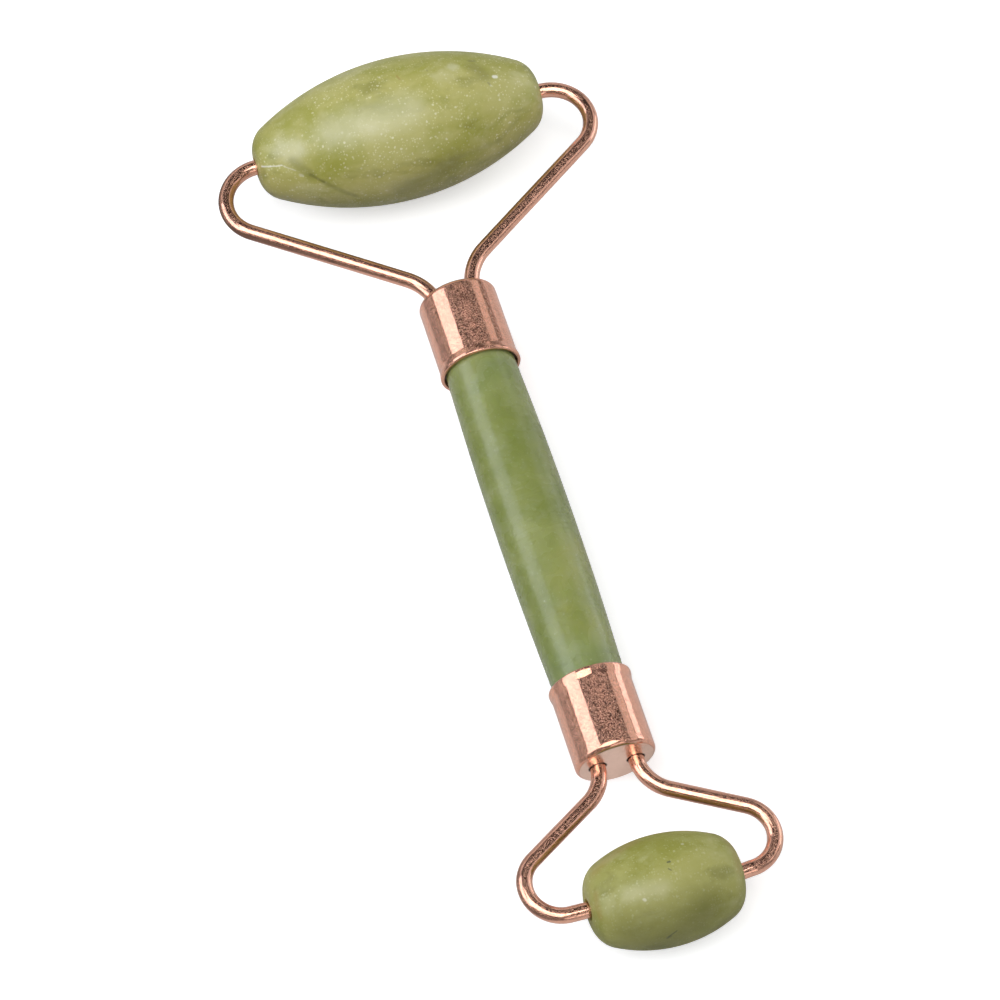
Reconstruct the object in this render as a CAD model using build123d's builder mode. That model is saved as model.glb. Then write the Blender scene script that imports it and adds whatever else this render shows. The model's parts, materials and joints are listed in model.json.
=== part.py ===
from build123d import *
from dataclasses import dataclass
from math import asin, atan2, cos, hypot, radians, sin, sqrt, tan
import os

# Jade face roller: a stone handle with a wire fork and a barrel-shaped stone roller at each end.
#
# Millimetres. +Y runs along the handle to the large roller and +Z is up. The tool lies on its two
# rollers, and the origin is on the surface under it, below the middle of its bounding box.

# Handle stone: a barrel whose ends sit inside the ferrules
handle_mid_radius = 5.5
handle_mouth_radius = 5.0  # where it enters a ferrule
handle_exposed_half = 25.2  # from its middle to a ferrule's mouth
handle_end_round = 0.6

# Ferrules: tubes of thin sheet, the same at both ends
ferrule_length = 12.2
ferrule_radius = 5.6
ferrule_wall = 0.4
shoulder_round = 0.8  # at the plate end, one rounding over the tube's edge and the plate's rim
bead_radius = 5.78  # rolled mouth
bead_land = 0.45
bead_length = 1.3
bead_edge_round = 0.22
bead_blend = 1.0  # hollow between the bead and the tube
mouth_lead_in = 0.15

# End plates: discs brazed into the ferrules and polished over with them
plate_thickness = 1.2
plate_gap = 0.02  # round the rim
leg_hole_gap = 0.1  # round each leg of the fork

# Forks: one wire each, a hairpin whose turned-in ends are the axle pins
wire_diameter = 2.2
leg_spacing = 5.3
hairpin_round = 2.6
hairpin_depth = 5.1  # ferrule's outer end to the hairpin's centreline
pin_depth = 7.5  # inside the stone
pin_tip_chamfer = 0.25

# Adhesive: potting round the hairpin, and a sleeve of glue round each end of the handle stone
potting_under_hairpin = 0.15
glue_setback = 0.9  # from the ferrule's mouth

# Roller bores, and the nylon sleeves pressed into them
bore_diameter = 3.0
bore_chamfer = 0.2
bush_bore_diameter = 2.3
bush_length = 6.5
bush_recess = 0.6  # behind the stone's end face
bush_chamfer = 0.1


@dataclass(frozen=True)
class End:
    """One end of the tool. Left is -X, right is +X, and outward is away from the handle."""

    name: str
    outward: int  # along Y: 1 or -1
    turn: float  # of the fork about the handle, in degrees
    reach: float  # ferrule's outer end to the roller's axis
    half_width: float  # handle's axis to the wire's centreline at its widest
    corner_radius: float  # outer corners, where the wire turns in to the roller
    bend_radius: float  # first bends, where the legs spread
    bend_left: float  # ferrule's outer end to each first bend's corner
    bend_right: float
    roller_radius: float  # at the belly
    roller_half_length: float
    edge_radius: float  # where the barrel's arc would meet the end face
    nose_round: float  # between the barrel and the end face
    roller_slide: float  # the roller's place in its side play, towards +X


large_end = End(
    name="large",
    outward=1,
    turn=-1.1,
    reach=29.5,
    half_width=26.9,
    corner_radius=5.7,
    bend_radius=7.9,
    bend_left=2.7,
    bend_right=4.3,
    roller_radius=10.3,
    roller_half_length=21.1,
    edge_radius=4.0,
    nose_round=4.1,
    roller_slide=0.0,
)
small_end = End(
    name="small",
    outward=-1,
    turn=3.9,
    reach=19.3,
    half_width=17.1,
    corner_radius=4.7,
    bend_radius=5.8,
    bend_left=2.9,
    bend_right=3.9,
    roller_radius=7.5,
    roller_half_length=10.4,
    edge_radius=4.4,
    nose_round=4.0,
    roller_slide=0.4,
)

# Sizes that follow from these, as distances from the handle's middle or from its axis
wire_radius = wire_diameter / 2
bore_radius = bore_diameter / 2
ferrule_bore_radius = ferrule_radius - ferrule_wall
ferrule_end = handle_exposed_half + ferrule_length
plate_radius = ferrule_bore_radius - plate_gap
plate_back = ferrule_end - plate_thickness
stone_end = ferrule_end - hairpin_depth - wire_radius - potting_under_hairpin
large_axle = ferrule_end + large_end.reach
small_axle = ferrule_end + small_end.reach


def arc_radius(half_chord, rise):
    """Radius of an arc that rises this far at the middle of its chord."""
    return (half_chord**2 + rise**2) / (2 * rise)


def handle_radius(along):
    """Radius of the handle stone, at a distance from its middle."""
    arc = arc_radius(handle_exposed_half, handle_mid_radius - handle_mouth_radius)
    return handle_mid_radius - arc + sqrt(arc**2 - along**2)


def shoulder_drop(radius):
    """How far the rounded shoulder falls back from the ferrule's end, at a distance from the axis."""
    past_flat = radius - (ferrule_radius - shoulder_round)
    return shoulder_round - sqrt(shoulder_round**2 - past_flat**2)


def axle_height(end):
    """Height of a roller's axis, when its barrel lies on a surface tipped by the fork's turn."""
    arc = arc_radius(end.roller_half_length, end.roller_radius - end.edge_radius)
    return arc - (arc - end.roller_radius) * cos(radians(end.turn))


# The handle slopes down to the small roller. Local X is +X and local Y runs along the handle.
slope = asin((axle_height(large_end) - axle_height(small_end)) / (large_axle + small_axle))
tip_y = large_axle * cos(slope) + large_end.roller_radius
tail_y = small_axle * cos(slope) + small_end.roller_radius
handle_plane = Plane(
    origin=(0, (tail_y - tip_y) / 2, axle_height(small_end) + small_axle * sin(slope)),
    x_dir=(1, 0, 0),
    z_dir=(0, -sin(slope), cos(slope)),
)
handle_axis = Axis(handle_plane.origin, handle_plane.y_dir)


def fork_plane(end):
    """Plane of a fork, with its origin on the handle's axis at the ferrule's outer end."""
    place = Location((0, end.outward * ferrule_end, 0), (0, end.turn, 0))
    return Plane(handle_plane.location * place)


def roller_plane(end):
    """Plane of a fork, with its origin at the middle of the roller and local X along its axis."""
    place = Location((end.roller_slide, end.outward * end.reach, 0))
    return Plane(fork_plane(end).location * place)


def disc_plane(end, along):
    """Plane square to the handle, at a distance from its middle, facing outward."""
    place = Location((0, end.outward * (along - ferrule_end), 0), (-90 * end.outward, 0, 0))
    return Plane(fork_plane(end).location * place)


def outer_corner(end, bend):
    """Where a fork's straight arm, drawn on, would meet the roller's axis.

    The arm starts at the first bend's corner and touches the outer corner's arc.
    """
    across = end.half_width - end.corner_radius - leg_spacing / 2
    along = end.reach - end.corner_radius - bend
    spread = atan2(across, along) + asin(end.corner_radius / hypot(across, along))
    return leg_spacing / 2 + (end.reach - bend) * tan(spread)


def make_handle_stone():
    with BuildPart() as stone:
        with BuildSketch(handle_plane):
            with BuildLine():
                barrel = ThreePointArc(
                    (handle_radius(stone_end), -stone_end),
                    (handle_mid_radius, 0),
                    (handle_radius(stone_end), stone_end),
                )
                Polyline(barrel @ 1, (0, stone_end), (0, -stone_end), barrel @ 0)
            make_face()
        revolve(axis=handle_axis)
        fillet(stone.edges().filter_by(GeomType.CIRCLE), radius=handle_end_round)
    return stone


def make_ferrule(end):
    mouth = handle_exposed_half
    edge_middle = ferrule_bore_radius + ferrule_wall / 2
    shoulder_points = [
        (radius, end.outward * (ferrule_end - shoulder_drop(radius)))
        for radius in (ferrule_radius, edge_middle, ferrule_bore_radius)
    ]
    outline = (  # radius, distance from the handle's middle, rounding
        (ferrule_bore_radius, mouth + mouth_lead_in * 2, 0),
        (ferrule_bore_radius + mouth_lead_in, mouth, 0),
        (bead_radius, mouth, bead_edge_round),
        (bead_radius, mouth + bead_land, bead_edge_round),
        (ferrule_radius, mouth + bead_length, bead_blend),
    )
    with BuildPart() as ferrule:
        with BuildSketch(handle_plane) as wall:
            with BuildLine():
                shoulder = ThreePointArc(*shoulder_points)
                bead = [(x, end.outward * y) for x, y, _ in outline]
                Polyline(shoulder @ 1, *bead, shoulder @ 0)
            make_face()
            for x, y, rounding in outline:
                if rounding:
                    corner = wall.vertices().sort_by_distance((x, end.outward * y))[0]
                    fillet(corner, radius=rounding)
        revolve(axis=handle_axis)
    return ferrule


def make_end_plate(end):
    flat_radius = ferrule_radius - shoulder_round
    rim_points = [
        (radius, -end.outward * shoulder_drop(radius))
        for radius in (flat_radius, (flat_radius + plate_radius) / 2, plate_radius)
    ]
    plane = fork_plane(end)
    with BuildPart() as plate:
        with BuildSketch(plane):
            with BuildLine():
                rim = ThreePointArc(*rim_points)
                back = -end.outward * plate_thickness
                Polyline(rim @ 1, (plate_radius, back), (0, back), (0, 0), rim @ 0)
            make_face()
        revolve(axis=Axis(plane.origin, plane.y_dir))
        with BuildSketch(disc_plane(end, ferrule_end)):
            with GridLocations(leg_spacing, 0, 2, 1):
                Circle(wire_radius + leg_hole_gap)
        extrude(amount=-plate_thickness, mode=Mode.SUBTRACT)
    return plate


def make_fork(end):
    leg = leg_spacing / 2
    pin_tip = end.roller_half_length - pin_depth
    corners = (
        (-pin_tip, end.reach),
        (-outer_corner(end, end.bend_left), end.reach),
        (-leg, end.bend_left),
        (-leg, -hairpin_depth),
        (leg, -hairpin_depth),
        (leg, end.bend_right),
        (outer_corner(end, end.bend_right), end.reach),
        (pin_tip, end.reach),
    )
    arm_rounds = (end.corner_radius, end.bend_radius, hairpin_round)
    with BuildPart() as fork:
        with BuildLine(fork_plane(end)) as wire:
            FilletPolyline(
                *[(x, end.outward * y) for x, y in corners],
                radius=arm_rounds + arm_rounds[::-1],
            )
        with BuildSketch(Plane(origin=wire.line @ 0, z_dir=wire.line % 0)):
            Circle(wire_radius)
        sweep(path=wire.line)
        tips = fork.faces().filter_by(GeomType.PLANE)
        chamfer(tips.edges(), length=pin_tip_chamfer)
    return fork


def make_fork_potting(end, fork):
    with BuildPart() as potting:
        with BuildSketch(disc_plane(end, plate_back)):
            Circle(ferrule_bore_radius)
        extrude(amount=stone_end - plate_back)
        add(fork.part, mode=Mode.SUBTRACT)
    return potting


def make_handle_glue(end):
    inner, outer = handle_exposed_half + glue_setback, stone_end - handle_end_round
    middle = (inner + outer) / 2
    with BuildPart() as glue:
        with BuildSketch(handle_plane):
            with BuildLine():
                seat = ThreePointArc(
                    (handle_radius(inner), end.outward * inner),
                    (handle_radius(middle), end.outward * middle),
                    (handle_radius(outer), end.outward * outer),
                )
                Polyline(
                    seat @ 1,
                    (ferrule_bore_radius, end.outward * outer),
                    (ferrule_bore_radius, end.outward * inner),
                    seat @ 0,
                )
            make_face()
        revolve(axis=handle_axis)
    return glue


def make_roller_stone(end):
    plane = roller_plane(end)
    half = end.roller_half_length
    with BuildPart() as stone:
        with BuildSketch(plane):
            with BuildLine():
                barrel = ThreePointArc(
                    (-half, end.edge_radius), (0, end.roller_radius), (half, end.edge_radius)
                )
                Polyline(barrel @ 1, (half, bore_radius), (-half, bore_radius), barrel @ 0)
            profile = make_face()
            bore_corners = profile.vertices().group_by(Axis.Y)[0]
            edge_corners = profile.vertices().group_by(Axis.Y)[-1]
            fillet(edge_corners, radius=end.nose_round)
            chamfer(bore_corners, length=bore_chamfer)
        revolve(axis=Axis(plane.origin, plane.x_dir))
    return stone


def make_bush(end, side):
    """Nylon sleeve in the left (-1) or right (1) end of a roller's bore."""
    plane = roller_plane(end)
    middle = end.roller_half_length - bush_recess - bush_length / 2
    wall = (bore_diameter - bush_bore_diameter) / 2
    with BuildPart() as bush:
        with BuildSketch(plane):
            with Locations((side * middle, bore_radius - wall / 2)):
                Rectangle(bush_length, wall)
            chamfer(vertices().group_by(Axis.Y)[0], length=bush_chamfer)
        revolve(axis=Axis(plane.origin, plane.x_dir))
    return bush


def save(piece, name):
    piece.part.label = name
    export_step(piece.part, f"parts/{name}.step")


os.makedirs("parts", exist_ok=True)
save(make_handle_stone(), "handle_stone")
for end in (large_end, small_end):
    fork = make_fork(end)
    save(fork, f"{end.name}_fork")
    save(make_fork_potting(end, fork), f"{end.name}_fork_potting")
    save(make_end_plate(end), f"{end.name}_end_plate")
    save(make_ferrule(end), f"{end.name}_ferrule")
    save(make_handle_glue(end), f"{end.name}_handle_glue")
    save(make_roller_stone(end), f"{end.name}_roller_stone")
    save(make_bush(end, -1), f"{end.name}_bush_left")
    save(make_bush(end, 1), f"{end.name}_bush_right")
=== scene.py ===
import bpy
import json
import math
from mathutils import Matrix, Vector, noise


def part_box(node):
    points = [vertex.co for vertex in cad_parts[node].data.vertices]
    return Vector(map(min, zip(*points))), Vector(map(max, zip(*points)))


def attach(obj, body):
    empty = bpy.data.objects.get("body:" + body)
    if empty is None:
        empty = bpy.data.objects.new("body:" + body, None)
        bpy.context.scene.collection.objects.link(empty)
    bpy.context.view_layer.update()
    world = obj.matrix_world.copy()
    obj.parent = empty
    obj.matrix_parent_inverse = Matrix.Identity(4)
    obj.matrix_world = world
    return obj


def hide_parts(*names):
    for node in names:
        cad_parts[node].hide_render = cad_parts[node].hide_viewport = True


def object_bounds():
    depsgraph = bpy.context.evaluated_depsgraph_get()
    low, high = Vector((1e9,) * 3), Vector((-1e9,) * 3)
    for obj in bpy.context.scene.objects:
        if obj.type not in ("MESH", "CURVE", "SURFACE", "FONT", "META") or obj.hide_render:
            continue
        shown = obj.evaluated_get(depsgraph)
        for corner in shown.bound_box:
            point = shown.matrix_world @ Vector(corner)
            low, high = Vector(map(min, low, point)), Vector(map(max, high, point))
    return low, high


# Jade face roller, lying on its two rollers on a pale floor under studio softboxes.
# Metres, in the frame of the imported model: +Y along the handle to the large roller, +Z up.

MM = 0.001
UP = Vector((0, 0, 1))

# Camera
CAMERA_AZIMUTH = math.radians(-15.42)
CAMERA_ELEVATION = math.radians(60.68)
CAMERA_ROLL = math.radians(-1.57)
CAMERA_DISTANCE = 0.598
CAMERA_LENS = 157.7  # on a 36 mm sensor
AIM_LEFT_OF_HANDLE = 4.68 * MM  # the aim, seen from the camera, from the handle's middle
AIM_ABOVE_HANDLE = 3.28 * MM

# Stones
STONE_STEP = 0.4 * MM  # of the mesh
BORE_REACH = 2.2 * MM  # nothing within this distance of the axis shows
GRINDING_DEPTH = 0.05 * MM
PIT_DEPTH = 0.05 * MM
CORNER = math.radians(20)  # a section turns at least this much at a real corner
HANDLE_MIDDLE_Y = -6.5 * MM  # its stone is cooler green towards both ends

# Wires
WIRE_RADIUS = 1.1 * MM
WIRE_STEP = 0.4 * MM
WIRE_SIDES = 32
RING_CORNERS = 12  # at least, in a ring of the CAD wire
WIRE_TURN = math.radians(25)  # the most that it bends between two rings of the CAD wire
DENT_DEPTH = 0.03 * MM
DRAW_LINE_DEPTH = 0.012 * MM
TIP_CHAMFER = 0.25 * MM

# Studio
FLOOR_RADIUS = 3.0
# Painted shade: for bounced light the paper is painted dim left of LIT_FROM_X, rising to full by LIT_TO_X
LIT_FROM_X, LIT_TO_X = -34 * MM, -18 * MM  # the floor's bounce rises between these
DIM_BOUNCE, FULL_BOUNCE = 0.15, 0.66
DIFFUSE_SHARE = 0.38  # of that bounce, for diffuse light
FLOOR_GLOW = 0.48  # added for the camera, so that the paper is white
ROOM_BANDS = (  # the sine of a direction's elevation, and how bright the room is there
    (0.0, 0.3), (0.1, 0.34), (0.14, 0.16), (0.26, 0.2), (0.5, 0.22), (0.64, 0.05),
)
WALL_WHITE = (0.97, 0.97, 0.97)
GLASSY_BLUE = (1.0, 1.04, 1.15)

# Plating
SHEET_TONE = (0.96, 0.50, 0.35)
PLATE_TONE = (1.0, 0.71, 0.57)
WIRE_TONE = (0.96, 0.52, 0.37)
TARNISH = (0.52, 0.27, 0.19)
DRAW_STREAK = (0.25, 0.13, 0.10)
BETWEEN_CURLS = (0.42, 0.20, 0.16)
# Painted shade: the thin dark ring round each wire leg at the end plate, for the gap round the wire
GAP_SHADE = (0.09, 0.045, 0.03)
CURL_ROUGHNESS = 0.165  # added on a rubbing mark
GAP_SHADE_FROM, GAP_SHADE_TO = 0.10 * MM, 0.32 * MM  # past the wire's skin

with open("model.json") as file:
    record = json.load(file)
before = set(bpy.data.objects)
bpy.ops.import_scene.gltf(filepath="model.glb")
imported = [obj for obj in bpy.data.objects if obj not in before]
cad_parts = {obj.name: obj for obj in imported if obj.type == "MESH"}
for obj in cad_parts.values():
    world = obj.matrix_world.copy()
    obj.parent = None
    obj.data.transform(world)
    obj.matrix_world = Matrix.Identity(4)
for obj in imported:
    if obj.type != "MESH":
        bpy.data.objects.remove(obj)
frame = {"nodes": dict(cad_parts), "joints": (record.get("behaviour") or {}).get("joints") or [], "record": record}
cad_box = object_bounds()
nodes = frame["nodes"]
joints = {joint["name"]: joint for joint in frame["joints"]}
middle = (cad_box[0] + cad_box[1]) / 2


# ---------------------------------------------------------------- node trees


class Graph:
    """A material's node tree, with short calls for the nodes that it uses most."""

    def __init__(self, name):
        self.material = bpy.data.materials.new(name)
        self.material.use_nodes = True
        self.tree = self.material.node_tree
        self.shader = self.tree.nodes["Principled BSDF"]
        self.place = self.node("ShaderNodeTexCoord").outputs["Object"]

    def node(self, kind, **settings):
        made = self.tree.nodes.new(kind)
        for key, value in settings.items():
            setattr(made, key, value)
        return made

    def put(self, socket, value):
        if isinstance(value, bpy.types.NodeSocket):
            self.tree.links.new(value, socket)
        else:
            socket.default_value = value

    def set(self, **values):
        """Sets the shader's sockets: base_color becomes Base Color."""
        for key, value in values.items():
            name = " ".join(word.capitalize() for word in key.split("_"))
            self.put(self.shader.inputs[name.replace("Ior", "IOR")], value)

    def vector(self, operation, first, second=None, scale=None):
        made = self.node("ShaderNodeVectorMath", operation=operation)
        self.put(made.inputs[0], first)
        if second is not None:
            self.put(made.inputs[1], second)
        if scale is not None:
            self.put(made.inputs["Scale"], scale)
        return made.outputs["Value" if operation in ("DOT_PRODUCT", "LENGTH") else "Vector"]

    def math(self, operation, first, second=0.0, third=0.0, clamp=False):
        made = self.node("ShaderNodeMath", operation=operation, use_clamp=clamp)
        for socket, value in zip(made.inputs, (first, second, third)):
            self.put(socket, value)
        return made.outputs["Value"]

    def sized(self, size, at=None):
        """Coordinates in which one unit is this many metres, or this many along each axis."""
        steps = size if isinstance(size, tuple) else (size,) * 3
        return self.vector("DIVIDE", at or self.place, steps)

    def noise(self, size, detail=2.0, roughness=0.5, distortion=0.0, at=None):
        made = self.node("ShaderNodeTexNoise")
        self.put(made.inputs["Vector"], self.sized(size, at))
        self.put(made.inputs["Scale"], 1.0)
        self.put(made.inputs["Detail"], detail)
        self.put(made.inputs["Roughness"], roughness)
        self.put(made.inputs["Distortion"], distortion)
        return made.outputs["Fac"]

    def wander(self, size, amount, at=None):
        """The coordinates, pushed about by noise of this size by up to this amount."""
        made = self.node("ShaderNodeTexNoise")
        self.put(made.inputs["Vector"], self.sized(size, at))
        self.put(made.inputs["Scale"], 1.0)
        push = self.vector("SUBTRACT", made.outputs["Color"], (0.5, 0.5, 0.5))
        return self.vector("ADD", at or self.place, self.vector("SCALE", push, scale=2 * amount))

    def cells(self, size, at=None):
        """Distance to the nearest of scattered points, in cells, and that point's random colour."""
        made = self.node("ShaderNodeTexVoronoi")
        self.put(made.inputs["Vector"], self.sized(size, at))
        self.put(made.inputs["Scale"], 1.0)
        return made.outputs["Distance"], made.outputs["Color"]

    def step(self, value, low, high, out_low=0.0, out_high=1.0):
        """A smooth step from out_low at low to out_high at high."""
        made = self.node("ShaderNodeMapRange", interpolation_type="SMOOTHSTEP")
        for name, number in (
            ("Value", value), ("From Min", low), ("From Max", high),
            ("To Min", out_low), ("To Max", out_high),
        ):
            self.put(made.inputs[name], number)
        return made.outputs["Result"]

    def mix(self, factor, first, second, blend="MIX"):
        made = self.node("ShaderNodeMix", data_type="RGBA", blend_type=blend)
        self.put(made.inputs["Factor"], factor)
        for socket, value in ((made.inputs[6], first), (made.inputs[7], second)):
            self.put(socket, (*value, 1.0) if isinstance(value, tuple) else value)
        return made.outputs[2]

    def tint(self, colour, mask, strength, tone):
        """The colour, with this much of a tone laid over it where the mask is 1."""
        return self.mix(self.math("MULTIPLY", mask, strength), colour, tone)

    def flecks(self, size, radius, share, at=None):
        """Scattered flecks of uneven size: 1 inside a fleck, 0 outside."""
        distance, colour = self.cells(size, at)
        split = self.node("ShaderNodeSeparateColor")
        self.put(split.inputs[0], colour)
        reach = self.step(split.outputs[0], 1 - share, 1.0, 0.0, radius / size)
        inside = self.math("SUBTRACT", reach, distance)
        return self.step(inside, 0.0, 0.35 * radius / size)

    def curls(self, size, width):
        """Fine curled lines: 1 on a line, 0 off it. The width is in the noise's own units."""
        swirl = self.noise(size, detail=1, distortion=1.8)
        from_line = self.math("ABSOLUTE", self.math("SUBTRACT", swirl, 0.5))
        return self.step(from_line, 0.0, width, 1.0, 0.0)

    def segment(self, start, end, at):
        """Distance from a straight segment, in metres."""
        run = end - start
        from_start = self.vector("SUBTRACT", at, tuple(start))
        along = self.vector("DOT_PRODUCT", from_start, tuple(run / max(run.length_squared, 1e-12)))
        along = self.math("ADD", along, 0.0, clamp=True)
        nearest = self.vector("SCALE", tuple(run), scale=along)
        return self.vector("LENGTH", self.vector("SUBTRACT", from_start, nearest))

    def bump(self, height, depth, under=None):
        """A bump whose height of 0 to 1 stands for this many metres."""
        made = self.node("ShaderNodeBump")
        self.put(made.inputs["Strength"], 1.0)
        self.put(made.inputs["Distance"], depth)
        self.put(made.inputs["Height"], height)
        if under is not None:
            self.put(made.inputs["Normal"], under)
        return made.outputs["Normal"]


# ---------------------------------------------------------------- materials


def roller_jade(name, shade, speckle, roughness, marks):
    """Satin serpentine jade: yellow-green, cloudy, with olive streaks and countless pale flecks."""
    g = Graph(name)
    at = g.wander(6 * MM, 1.8 * MM)
    cloud = g.step(g.noise((13 * MM, 7 * MM, 7 * MM), detail=5, roughness=0.55, at=at), 0.38, 0.62)
    mottle = g.step(g.noise(2.2 * MM, detail=5, roughness=0.65, at=at), 0.4, 0.7)
    olive = g.step(g.noise((9 * MM, 4 * MM, 4 * MM), detail=4, roughness=0.55, at=at), 0.53, 0.7)
    haze = g.noise((8 * MM, 4.5 * MM, 4.5 * MM), detail=5, roughness=0.6, distortion=0.4)
    pale = g.step(haze, 0.52, 0.72)
    colour = g.mix(cloud, (0.345, 0.345, 0.06), (0.48, 0.46, 0.155))
    colour = g.tint(colour, mottle, 0.3, (0.58, 0.56, 0.26))
    colour = g.tint(colour, olive, 0.55, (0.22, 0.22, 0.04))
    colour = g.tint(colour, pale, 0.5, (0.63, 0.61, 0.36))
    shaped = g.wander(0.25 * MM, 0.13 * MM)
    crowd = g.step(g.noise((9 * MM, 5 * MM, 5 * MM), detail=3), 0.38, 0.58, 0.35, 1.0)
    fine = g.math("MULTIPLY", g.flecks(0.36 * MM, 0.17 * MM, 1.0, shaped), crowd)
    coarse = g.math("MULTIPLY", g.flecks(0.75 * MM, 0.22 * MM, 0.6, shaped), crowd)
    colour = g.tint(colour, fine, 0.5 * speckle, (0.74, 0.73, 0.47))
    colour = g.tint(colour, coarse, 0.6 * speckle, (0.80, 0.79, 0.60))
    dark = g.flecks(2.6 * MM, 0.17 * MM, 0.35, shaped)
    colour = g.tint(colour, dark, 0.4, (0.12, 0.11, 0.03))
    colour = g.mix(1.0, colour, shade, blend="MULTIPLY")
    # The listed marks: real veins, spots and cracks, and among them painted highlight and painted shade
    for start, end, width, softness, tone, strength in marks:
        near = g.segment(start, end, g.wander(1.0 * MM, 0.35 * width + 0.05 * MM))
        inside = g.step(near, width * (1 - softness), width * (1 + softness), strength, 0.0)
        colour = g.mix(inside, colour, tone)
    grain = g.noise(0.22 * MM, detail=3, roughness=0.7)
    orange_peel = g.noise(0.9 * MM, detail=3)
    satin = g.step(grain, 0.3, 0.7, roughness - 0.07, roughness + 0.07)
    g.set(base_color=colour, roughness=satin, IOR=1.6)
    g.set(subsurface_weight=0.2, subsurface_scale=1.0 * MM, subsurface_radius=(1.0, 0.9, 0.3))
    g.set(normal=g.bump(orange_peel, 0.015 * MM, g.bump(grain, 0.005 * MM)))
    return g.material


def handle_jade():
    """Polished jade, greener and clearer than the rollers."""
    g = Graph("jade_handle")
    at = g.wander(6 * MM, 2 * MM)
    cloud = g.step(g.noise(8 * MM, detail=4, roughness=0.5, at=at), 0.36, 0.66)
    haze = g.step(g.noise(3.4 * MM, detail=5, roughness=0.65, at=at), 0.5, 0.75)
    yellow = g.step(g.noise(11 * MM, detail=2), 0.5, 0.68)
    colour = g.mix(cloud, (0.21, 0.25, 0.06), (0.29, 0.325, 0.105))
    colour = g.tint(colour, yellow, 0.4, (0.38, 0.37, 0.10))
    colour = g.tint(colour, haze, 0.35, (0.38, 0.42, 0.24))
    split = g.node("ShaderNodeSeparateXYZ")
    g.put(split.inputs[0], at)
    from_middle = g.math("ABSOLUTE", g.math("SUBTRACT", split.outputs["Y"], HANDLE_MIDDLE_Y))
    colour = g.tint(colour, g.step(from_middle, 14 * MM, 30 * MM), 0.45, (0.19, 0.27, 0.13))
    shaped = g.wander(0.4 * MM, 0.12 * MM)
    colour = g.tint(colour, g.flecks(0.5 * MM, 0.16 * MM, 0.8, shaped), 0.3, (0.5, 0.54, 0.32))
    colour = g.tint(colour, g.flecks(2.4 * MM, 0.26 * MM, 0.5, shaped), 0.6, (0.62, 0.66, 0.46))
    colour = g.tint(colour, g.flecks(1.5 * MM, 0.13 * MM, 0.35, shaped), 0.5, (0.45, 0.28, 0.09))
    grain = g.noise(2 * MM, detail=1)
    g.set(base_color=colour, roughness=g.step(grain, 0.3, 0.7, 0.24, 0.3), IOR=1.6)
    g.set(subsurface_weight=0.5, subsurface_scale=1.5 * MM, subsurface_radius=(0.8, 1.0, 0.35))
    ripple = g.bump(g.noise(2.2 * MM, detail=0), 0.012 * MM)
    g.set(normal=g.bump(g.noise(6 * MM, detail=0), 0.05 * MM, ripple))
    return g.material


def rose_gold(name, tone, tarnish, roughness, scratches, drawn=False, legs=()):
    """Copper-coloured plating: wavy under the polish, dulled by countless fine curled rubbing marks.

    A drawn wire has marks along its length as well, laid out on the straightened wire. A thin dark ring is painted
    round each leg of wire that comes out of the plating: painted shade for the gap round the wire.
    """
    g = Graph(name)
    blotch = g.step(g.noise(0.9 * MM, detail=5, roughness=0.7), 0.45, 0.72)
    colour = g.tint(tone, blotch, tarnish, TARNISH)
    height = g.bump(g.noise(0.4 * MM, detail=3, roughness=0.55), 0.010 * MM)
    if drawn:
        straight = g.node("ShaderNodeAttribute", attribute_name="straight").outputs["Vector"]
        line = g.noise((6 * MM, 0.28 * MM, 0.28 * MM), detail=2, at=straight)
        dark = g.step(g.noise((4 * MM, 0.22 * MM, 0.22 * MM), detail=2, at=straight), 0.56, 0.68)
        colour = g.tint(colour, dark, 0.4, DRAW_STREAK)
        height = g.bump(line, 0.012 * MM, height)
    rubbed = g.curls(0.6 * MM, 0.018)
    rubbed = g.math("MAXIMUM", rubbed, g.curls(0.36 * MM, 0.017))
    patch = g.step(g.noise(2.5 * MM, detail=2), 0.3, 0.6, 0.75, 1.0)
    rubbed = g.math("MULTIPLY", rubbed, g.math("MULTIPLY", patch, scratches))
    height = g.bump(rubbed, 0.010 * MM, height)
    colour = g.tint(colour, g.math("SUBTRACT", scratches, rubbed), 0.1, BETWEEN_CURLS)
    # Painted shade: a thin dark ring round each leg where it comes out of the plate
    for start, stop in legs:
        near = g.segment(start, stop, g.wander(0.8 * MM, 0.06 * MM))
        gap_shade = g.step(near, WIRE_RADIUS + GAP_SHADE_FROM, WIRE_RADIUS + GAP_SHADE_TO, 0.9, 0.0)
        colour = g.mix(gap_shade, colour, GAP_SHADE)
    grain = g.step(g.noise(0.12 * MM, detail=2), 0.3, 0.7, roughness, roughness * 1.5)
    g.set(base_color=colour, metallic=1.0, roughness=g.math("MULTIPLY_ADD", rubbed, CURL_ROUGHNESS, grain))
    g.set(normal=height)
    return g.material


def plain_resin(name, tone, roughness, grain_size):
    """Set resin or moulded nylon, faintly cloudy."""
    g = Graph(name)
    cloud = g.noise(grain_size, detail=3)
    colour = g.mix(g.step(cloud, 0.3, 0.7), tone, tuple(0.7 * part for part in tone))
    g.set(base_color=colour, roughness=g.step(cloud, 0.3, 0.7, roughness, roughness + 0.15))
    g.set(normal=g.bump(cloud, 0.01 * MM))
    return g.material


def dress(node, material):
    for slot in nodes[node].material_slots:
        slot.material = material


# ---------------------------------------------------------------- meshes


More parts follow.
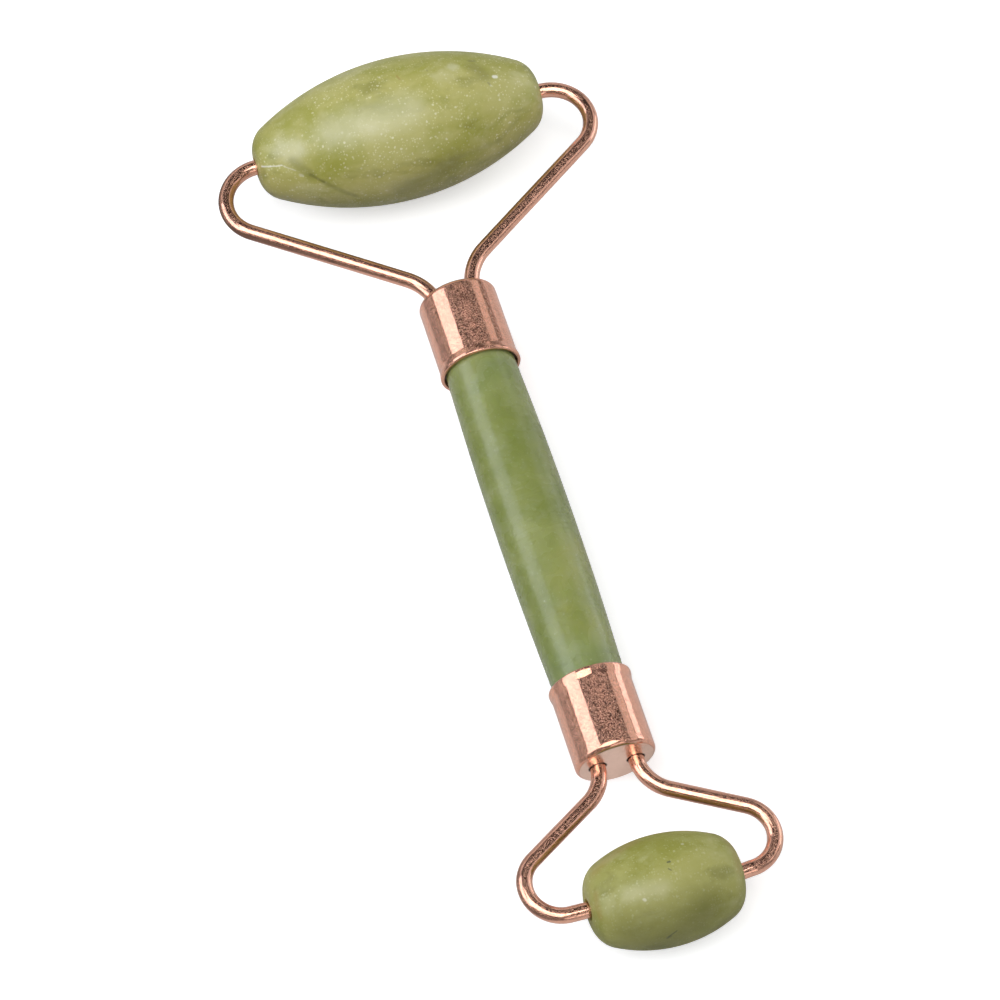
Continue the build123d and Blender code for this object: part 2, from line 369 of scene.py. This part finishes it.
def refine(points, step, keeps):
    """Points at most a step apart on a smooth closed curve through these, which keeps real corners.

    A run between two of the points stays in one piece where keeps(start, end) is true.
    """
    count = len(points)
    runs = [points[(i + 1) % count] - points[i] for i in range(count)]
    ways = [run.normalized() for run in runs]

    def tangent(i, own):
        before, after = ways[i - 1], ways[i % count]
        if before.dot(after) < math.cos(CORNER):
            return ways[own]
        return (runs[i - 1] + runs[i % count]).normalized()

    fine = []
    for i in range(count):
        start, end, length = points[i], points[(i + 1) % count], runs[i].length
        leave, arrive = tangent(i, i) * length, tangent(i + 1, i) * length
        pieces = 1 if keeps(start, end) else max(1, math.ceil(length / step))
        for k in range(pieces):
            t = k / pieces
            fine.append(
                (1 + 2 * t) * (1 - t) ** 2 * start + t * (1 - t) ** 2 * leave
                + t * t * (3 - 2 * t) * end + t * t * (t - 1) * arrive
            )
    return fine


def new_piece(name, points, faces, material, body, node, slot):
    """A smooth mesh that stands for a CAD node and moves with its body."""
    mesh = bpy.data.meshes.new(name)
    mesh.from_pydata(points, [], faces)
    mesh.polygons.foreach_set("use_smooth", [True] * len(faces))
    mesh.set_sharp_from_angle(angle=math.radians(30))
    mesh.materials.append(material)
    piece = bpy.data.objects.new(name, mesh)
    bpy.context.scene.collection.objects.link(piece)
    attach(piece, body)
    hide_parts(node)
    return piece


class Turned:
    """A turned CAD node: its section about an axis, and places on its skin."""

    def __init__(self, node, centre, axis):
        self.node, self.centre, self.axis = node, Vector(centre), Vector(axis).normalized()
        self.up = (UP - UP.dot(self.axis) * self.axis).normalized()
        self.away = self.up.cross(self.axis)
        speck = 0.005 * MM
        found = set()
        for vertex in nodes[node].data.vertices:
            offset = vertex.co - self.centre
            along = offset.dot(self.axis)
            found.add((round(along / speck), round((offset - along * self.axis).length / speck)))
        points = [Vector(pair) * speck for pair in found]
        self.pierced = min(point.y for point in points) > speck
        ends = [point.x for point in points]
        if not self.pierced:
            points += [Vector((min(ends), 0.0)), Vector((max(ends), 0.0))]
        halfway = max(point.y for point in points) / 2
        centre_along = (min(ends) + max(ends)) / 2
        points.sort(key=lambda point: math.atan2(point.y - halfway, point.x - centre_along))
        self.section = points

    def place(self, along, radius, angle):
        """The point at this distance along the axis and from it, at an angle round it.

        The angle is from up, and on a roller, whose axis is +X, towards +Y.
        """
        spoke = math.cos(angle) * self.up + math.sin(angle) * self.away
        return self.centre + along * self.axis + radius * spoke

    def skin(self, millimetres, degrees):
        """The point on the outer skin at this distance along the axis and this angle."""
        along = millimetres * MM
        outer = [point for point in self.section if point.y > BORE_REACH]
        first, second = sorted(outer, key=lambda point: abs(point.x - along))[:2]
        share = 0.5 if first.x == second.x else (along - first.x) / (second.x - first.x)
        radius = first.y + min(max(share, 0.0), 1.0) * (second.y - first.y)
        return self.place(along, radius, math.radians(degrees))

    def mesh(self):
        """Points and faces of the stone, ground by hand: never proud of the CAD node's skin."""
        curve = refine(self.section, STONE_STEP, lambda a, b: max(a.y, b.y) < BORE_REACH)
        sides = round(2 * math.pi * max(point.y for point in curve) / STONE_STEP)
        points, rings = [], []
        for i, here in enumerate(curve):
            if here.y < 0.001 * MM:
                rings.append([len(points)])
                points.append(self.place(here.x, 0.0, 0.0))
                continue
            run = (curve[(i + 1) % len(curve)] - curve[i - 1]).normalized()
            inward = Vector((-run.y, run.x))
            fade = min(max((here.y - BORE_REACH) / MM, 0.0), 1.0)
            rings.append(list(range(len(points), len(points) + sides)))
            for k in range(sides):
                angle = 2 * math.pi * k / sides
                skin = self.place(here.x, here.y, angle)
                sunk = here + inward * (fade * hand_ground(skin))
                points.append(self.place(sunk.x, sunk.y, angle))
        pairs = list(zip(rings, rings[1:]))
        if self.pierced:
            pairs.append((rings[-1], rings[0]))
        faces = []
        for first, second in pairs:
            if len(first) == len(second) == 1:
                continue
            for k in range(sides):
                corners = [
                    first[k % len(first)], first[(k + 1) % len(first)],
                    second[(k + 1) % len(second)], second[k % len(second)],
                ]
                faces.append(tuple(dict.fromkeys(corners)))
        return points, faces


def hand_ground(point):
    """How far grinding by hand and small pits have sunk a stone's skin at a point."""
    flats = 0.5 + 0.5 * noise.noise(point / (9 * MM))
    ripple = 0.5 + 0.5 * noise.noise(point / (2.6 * MM))
    pit = max(noise.noise(point / (1.3 * MM)) - 0.4, 0.0)
    return GRINDING_DEPTH * (0.7 * flats + 0.3 * ripple) + PIT_DEPTH * pit


def wire_line(end):
    """The fork's centreline from its left tip to its right one, found inside the CAD wire."""
    mesh = nodes[f"{end}_fork"].data
    speck, apart = 0.02 * MM, 0.2 * MM
    found = {}
    for loop, normal in zip(mesh.loops, mesh.corner_normals):
        centre = mesh.vertices[loop.vertex_index].co - WIRE_RADIUS * normal.vector
        found.setdefault(tuple(round(value / speck) for value in centre), []).append(centre)
    rings = []
    for group in sorted(found.values(), key=len, reverse=True):
        centre = sum(group, Vector()) / len(group)
        if len(group) >= RING_CORNERS and all((centre - ring).length > apart for ring in rings):
            rings.append(centre)
    spin = joints[f"{end}_roller_spin"]
    hub, axle = Vector(spin["pos_m"]), Vector(spin["axis"])
    left_pin = [
        ring for ring in rings if (ring - hub).cross(axle).length < apart and (ring - hub).dot(axle) < 0
    ]
    here = max(left_pin, key=lambda ring: (ring - hub).dot(axle))
    heading, line = -axle, [here]
    rings.remove(here)
    while True:
        ahead = [
            ring for ring in rings if (ring - here).normalized().dot(heading) > math.cos(WIRE_TURN)
        ]
        if not ahead:
            return line
        found_next = min(ahead, key=lambda ring: (ring - here).length)
        heading = (found_next - here).normalized()
        here = found_next
        line.append(here)
        rings.remove(here)


def legs_at_plate(end, along):
    """The fork's two short runs of wire through the outer face of its end plate."""
    face = max(vertex.co.dot(along) for vertex in nodes[f"{end}_end_plate"].data.vertices)
    line = wire_line(end)
    for start, stop in zip(line, line[1:]):
        before, after = start.dot(along) - face, stop.dot(along) - face
        if before * after < 0:
            way = (stop - start).normalized()
            crossing = start.lerp(stop, before / (before - after))
            yield crossing - MM * way, crossing + MM * way


def make_fork(end, material):
    """The fork's wire as a fine tube with draw lines and dents, in place of its CAD node."""
    line = wire_line(end)
    curve = refine(line, WIRE_STEP, lambda a, b: a is line[-1])
    curve.append(line[-1])
    spin = joints[f"{end}_roller_spin"]
    to_hub = Vector(spin["pos_m"]) - sum(line, Vector()) / len(line)
    flat = Vector(spin["axis"]).cross(to_hub).normalized()
    points, straight = [], []
    travelled = 0.0
    last = len(curve) - 1

    def add_ring(centre, way, radius_at):
        across = way.cross(flat)
        for k in range(WIRE_SIDES):
            angle = 2 * math.pi * k / WIRE_SIDES
            round_wire = (WIRE_RADIUS * math.cos(angle), WIRE_RADIUS * math.sin(angle))
            unrolled = Vector((travelled, *round_wire))
            spoke = math.cos(angle) * flat + math.sin(angle) * across
            points.append(centre + radius_at(unrolled) * spoke)
            straight.append(unrolled)

    for i, centre in enumerate(curve):
        way = (curve[min(i + 1, last)] - curve[max(i - 1, 0)]).normalized()
        if i == 0:
            add_ring(centre - TIP_CHAMFER * way, way, lambda unrolled: WIRE_RADIUS - TIP_CHAMFER)
        else:
            travelled += (centre - curve[i - 1]).length
        add_ring(centre, way, worn_radius)
        if i == last:
            add_ring(centre + TIP_CHAMFER * way, way, lambda unrolled: WIRE_RADIUS - TIP_CHAMFER)
    ring_count = len(points) // WIRE_SIDES
    faces = [tuple(range(WIRE_SIDES - 1, -1, -1)), tuple(range(len(points) - WIRE_SIDES, len(points)))]
    for i in range(ring_count - 1):
        for k in range(WIRE_SIDES):
            a, b = i * WIRE_SIDES + k, i * WIRE_SIDES + (k + 1) % WIRE_SIDES
            faces.append((a, b, b + WIRE_SIDES, a + WIRE_SIDES))
    piece = new_piece(
        f"{end}_fork_wire", points, faces, material, "handle", f"{end}_fork", "rose_gold_wire"
    )
    laid_out = piece.data.attributes.new("straight", "FLOAT_VECTOR", "POINT")
    laid_out.data.foreach_set("vector", [value for vector in straight for value in vector])


def worn_radius(unrolled):
    """The wire's radius at a point of the straightened wire, after drawing and bending."""
    dent = max(noise.noise(unrolled / (3.2 * MM)), 0.0)
    groove = max(noise.noise(Vector((unrolled.x / (7 * MM), *(unrolled.yz / (0.45 * MM))))), 0.0)
    return WIRE_RADIUS - DENT_DEPTH * dent ** 2 - DRAW_LINE_DEPTH * groove


# ---------------------------------------------------------------- studio


def softbox(name, towards, distance, width, height, radiance, aim=middle, tone=(1, 1, 1)):
    """A rectangular lamp in this direction (azimuth from +Y to +X, elevation) from its aim."""
    light = bpy.data.lights.new(name, "AREA")
    light.shape = "RECTANGLE"
    light.size, light.size_y = width, height
    light.energy = radiance * width * height * math.pi
    light.color = tone
    azimuth, elevation = (math.radians(angle) for angle in towards)
    level = math.cos(elevation)
    direction = Vector((math.sin(azimuth) * level, math.cos(azimuth) * level, math.sin(elevation)))
    lamp = bpy.data.objects.new(name, light)
    lamp.location = aim + direction * distance
    lamp.rotation_euler = direction.to_track_quat("Z", "Y").to_euler()
    lamp.visible_camera = False
    bpy.context.scene.collection.objects.link(lamp)
    return lamp


def make_floor(sides=96):
    """White paper, painted dim for bounced light away from the lit side: painted shade."""
    mesh = bpy.data.meshes.new("floor")
    turn = 2 * math.pi / sides
    rim = [
        (FLOOR_RADIUS * math.cos(turn * k), FLOOR_RADIUS * math.sin(turn * k), 0.0)
        for k in range(sides)
    ]
    mesh.from_pydata(rim, [], [tuple(range(sides))])
    floor = bpy.data.objects.new("floor", mesh)
    bpy.context.scene.collection.objects.link(floor)
    g = Graph("floor_paper")
    tone = g.noise(40 * MM, detail=3)
    path = g.node("ShaderNodeLightPath")
    seen = path.outputs["Is Camera Ray"]
    split = g.node("ShaderNodeSeparateXYZ")
    g.put(split.inputs[0], g.place)
    # Painted shade: the paper's bounce is painted dim left of LIT_FROM_X
    level = g.step(split.outputs["X"], LIT_FROM_X, LIT_TO_X, DIM_BOUNCE, FULL_BOUNCE)
    share = g.step(path.outputs["Is Diffuse Ray"], 0.0, 1.0, 1.0, DIFFUSE_SHARE)
    level = g.math("MULTIPLY", level, share)
    bounced = g.mix(level, (0.0, 0.0, 0.0), (1.0, 1.0, 1.0))
    paper = g.mix(tone, (0.86, 0.86, 0.86), (0.88, 0.88, 0.88))
    g.set(base_color=g.mix(seen, bounced, paper), roughness=0.8)
    g.set(specular_ior_level=0.1, emission_color=(1.0, 1.0, 1.0, 1.0))
    g.set(emission_strength=g.math("MULTIPLY", seen, FLOOR_GLOW))
    mesh.materials.append(g.material)


def make_world():
    """A dim room, banded by height and a little darker behind the camera, which sees it as white."""
    world = bpy.data.worlds.new("studio")
    world.use_nodes = True
    tree = world.node_tree
    tree.nodes.clear()
    link = tree.links.new
    output = tree.nodes.new("ShaderNodeOutputWorld")
    place = tree.nodes.new("ShaderNodeTexCoord")
    split = tree.nodes.new("ShaderNodeSeparateXYZ")
    link(place.outputs["Generated"], split.inputs[0])
    bands = tree.nodes.new("ShaderNodeValToRGB")
    bands.color_ramp.elements.remove(bands.color_ramp.elements[0])
    bands.color_ramp.elements[0].position = 0.0
    for i, (sine, level) in enumerate(ROOM_BANDS):
        stop = bands.color_ramp.elements[0] if i == 0 else bands.color_ramp.elements.new(sine)
        stop.color = (level, level, level, 1)
    link(split.outputs["Z"], bands.inputs["Fac"])
    ahead = tree.nodes.new("ShaderNodeMapRange")
    for name, number in (("From Min", -0.4), ("From Max", 0.2), ("To Min", 0.75), ("To Max", 1.0)):
        ahead.inputs[name].default_value = number
    link(split.outputs["Y"], ahead.inputs["Value"])
    room = tree.nodes.new("ShaderNodeBackground")
    link(bands.outputs["Color"], room.inputs["Color"])
    link(ahead.outputs["Result"], room.inputs["Strength"])
    pale = tree.nodes.new("ShaderNodeBackground")
    seen = tree.nodes.new("ShaderNodeLightPath")
    both = tree.nodes.new("ShaderNodeMixShader")
    link(seen.outputs["Is Camera Ray"], both.inputs["Fac"])
    link(room.outputs[0], both.inputs[1])
    link(pale.outputs[0], both.inputs[2])
    pale.inputs["Color"].default_value = (*WALL_WHITE, 1)
    link(both.outputs[0], output.inputs["Surface"])
    bpy.context.scene.world = world


def make_camera():
    level = math.cos(CAMERA_ELEVATION)
    back = Vector((
        math.sin(CAMERA_AZIMUTH) * level, -math.cos(CAMERA_AZIMUTH) * level, math.sin(CAMERA_ELEVATION)
    ))
    right = UP.cross(back).normalized()
    up = back.cross(right)
    roll = Matrix.Rotation(CAMERA_ROLL, 3, back)
    right, up = roll @ right, roll @ up
    low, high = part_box("handle_stone")
    aim = (low + high) / 2 - AIM_LEFT_OF_HANDLE * right + AIM_ABOVE_HANDLE * up
    lens = bpy.data.cameras.new("camera")
    lens.sensor_width, lens.lens = 36.0, CAMERA_LENS
    lens.clip_start, lens.clip_end = 0.01, 20.0
    camera = bpy.data.objects.new("camera", lens)
    turn = Matrix((right, up, back)).transposed().to_4x4()
    camera.matrix_world = Matrix.Translation(aim + CAMERA_DISTANCE * back) @ turn
    bpy.context.scene.collection.objects.link(camera)
    bpy.context.scene.camera = camera


# ---------------------------------------------------------------- marks on the rollers

WHITE = (0.80, 0.79, 0.66)
# Pale cream: a real pale spot on the large roller, and painted highlight in the broad patches across the rollers'
# tops
CREAM_AND_PAINTED_HIGHLIGHT = (0.66, 0.65, 0.42)
# Dark olive: real olive veins, and painted shade in the broad patches on the small roller's lower side
OLIVE_AND_PAINTED_SHADE = (0.16, 0.16, 0.035)
SOOT = (0.05, 0.055, 0.04)
BROWN = (0.36, 0.22, 0.06)

# Along the axle in mm and degrees from up towards +Y, twice; then width, softness, tone, strength
LARGE_MARKS = (
    (-20.6, -35, -19.5, -38, 0.13, 0.5, WHITE, 0.8),
    (-19.5, -38, -18.0, -40, 0.11, 0.5, WHITE, 0.7),
    (-18.0, -40, -16.3, -50, 0.09, 0.6, WHITE, 0.4),
    (-15.9, -56, -15.6, -57, 0.22, 0.6, WHITE, 0.4),
    (-16.4, -38, -14.5, -57, 0.70, 0.8, OLIVE_AND_PAINTED_SHADE, 0.4),
    (-14.5, -57, -12.9, -67, 0.20, 0.8, OLIVE_AND_PAINTED_SHADE, 0.65),
    (-12.9, -67, -8.9, -88, 0.35, 0.9, OLIVE_AND_PAINTED_SHADE, 0.45),
    # The next two cream patches are painted highlight: the lamp's satin sheen across the top
    (-17.0, -22, -15.6, -26, 1.50, 0.7, CREAM_AND_PAINTED_HIGHLIGHT, 0.45),
    (-10.0, -18, 1.0, -18, 2.40, 0.8, CREAM_AND_PAINTED_HIGHLIGHT, 0.4),
    (14.5, -4, 14.8, -4, 0.30, 0.4, WHITE, 0.9),
    (9.0, 12, 9.2, 12, 0.75, 0.6, CREAM_AND_PAINTED_HIGHLIGHT, 0.45),
    (11.8, 20, 12.6, 20, 0.26, 0.8, SOOT, 0.35),
    (13.4, -11, 13.5, -13, 0.16, 0.8, SOOT, 0.35),
    (12.0, 9, 13.0, -1, 1.10, 0.8, OLIVE_AND_PAINTED_SHADE, 0.4),
    (1.0, 12, 1.2, 8, 0.16, 0.6, BROWN, 0.5),
    (16.5, -60, 12.8, -74, 0.45, 0.9, OLIVE_AND_PAINTED_SHADE, 0.25),
    (12.8, -74, 5.4, -71, 0.45, 0.9, OLIVE_AND_PAINTED_SHADE, 0.2),
    (5.4, -76, -2.0, -88, 1.60, 0.9, OLIVE_AND_PAINTED_SHADE, 0.45),
)
SMALL_MARKS = (
    (0.0, 4, 0.3, 4, 0.13, 0.6, SOOT, 0.75),
    (-0.2, -3, 0.1, -5, 0.09, 0.6, SOOT, 0.65),
    (-2.0, -78, -1.6, -76, 0.20, 0.7, SOOT, 0.6),
    (-1.9, -77, -0.8, -70, 0.11, 0.7, SOOT, 0.75),
    # The next three broad olive patches are painted shade on the small roller's lower side, towards -Y
    (-3.4, -94, 3.0, -60, 1.80, 0.9, OLIVE_AND_PAINTED_SHADE, 0.45),
    (-6.0, -70, 5.0, -50, 2.00, 0.9, OLIVE_AND_PAINTED_SHADE, 0.4),
    (-7.5, -48, 3.0, -40, 2.20, 0.9, OLIVE_AND_PAINTED_SHADE, 0.25),
    (-4.3, -27, -4.2, -28, 0.18, 0.6, WHITE, 0.45),
    (2.8, 23, 2.9, 23, 0.16, 0.6, WHITE, 0.35),
    # Painted highlight: a pale cream patch where the lamp's satin sheen lies
    (-6.0, -16, -2.0, -20, 1.10, 0.9, CREAM_AND_PAINTED_HIGHLIGHT, 0.25),
    # The next three are brownish marks, two of them at the small roller's ends
    (-9.9, -40, -9.7, 0, 0.50, 0.8, BROWN, 0.3),
    (-8.6, 40, -3.0, 52, 0.90, 0.9, BROWN, 0.3),
    (9.2, 40, 9.4, -20, 0.80, 0.9, BROWN, 0.25),
)


# ---------------------------------------------------------------- the scene

make_camera()
make_floor()
make_world()

# Lamps: direction, distance, width, height, radiance
softbox("overhead", (-135, 70), 1.05, 1.06, 0.86, 3.1)
softbox("left_side", (-76, 32.7), 1.0, 1.0, 0.67, 1.95, tone=GLASSY_BLUE)
softbox("right_wall", (85, 30), 1.2, 2.0, 0.46, 0.62)
card_aim = Vector((0, 0.06, 0.055))
softbox("right_card", (90, 0), 0.45, 0.32, 0.19, 1.6, aim=card_aim, tone=GLASSY_BLUE)
softbox("ahead_wall", (-5, 22), 1.2, 1.7, 0.5, 0.5)
softbox("back_strip", (170, 20), 1.1, 0.5, 0.5, 1.0).visible_diffuse = False
softbox("right_fill", (80, 40), 1.1, 1.0, 0.5, 1.1).visible_glossy = False

grip = frame["record"]["mounts"][0]
for end, outward, shade, speckle, roughness, marks in (
    ("large", 1, (0.97, 0.965, 0.89), 1.0, 0.42, LARGE_MARKS),
    ("small", -1, (0.75, 0.765, 0.61), 0.6, 0.58, SMALL_MARKS),
):
    spin = joints[f"{end}_roller_spin"]
    stone = Turned(f"{end}_roller_stone", spin["pos_m"], spin["axis"])
    placed = [
        (stone.skin(*mark[:2]), stone.skin(*mark[2:4]), mark[4] * MM, *mark[5:]) for mark in marks
    ]
    jade = roller_jade(f"jade_{end}_roller", shade, speckle, roughness, placed)
    new_piece(f"{end}_roller_jade", *stone.mesh(), jade, f"{end}_roller", stone.node, "jade_roller")
    sheet = rose_gold(f"{end}_sheet_plating", SHEET_TONE, 0.3, 0.045, 1.0)
    legs = list(legs_at_plate(end, outward * Vector(grip["axis"])))
    plate = rose_gold(f"{end}_plate_plating", PLATE_TONE, 0.15, 0.16, 0.3, legs=legs)
    wire = rose_gold(f"{end}_wire_plating", WIRE_TONE, 0.3, 0.065, 0.55, drawn=True)
    dress(f"{end}_ferrule", sheet)
    dress(f"{end}_end_plate", plate)
    make_fork(end, wire)
    dress(f"{end}_fork_potting", plain_resin(f"{end}_potting", (0.35, 0.25, 0.12), 0.3, 1.5 * MM))
    dress(f"{end}_handle_glue", plain_resin(f"{end}_glue", (0.2, 0.16, 0.1), 0.35, 1 * MM))
    for side in ("left", "right"):
        nylon = plain_resin(f"{end}_{side}_nylon", (0.45, 0.36, 0.2), 0.4, 0.4 * MM)
        dress(f"{end}_bush_{side}", nylon)
handle = Turned("handle_stone", grip["pos_m"], grip["axis"])
new_piece("handle_jade", *handle.mesh(), handle_jade(), "handle", "handle_stone", "jade_handle")

bpy.context.scene.view_settings.view_transform = "Standard"
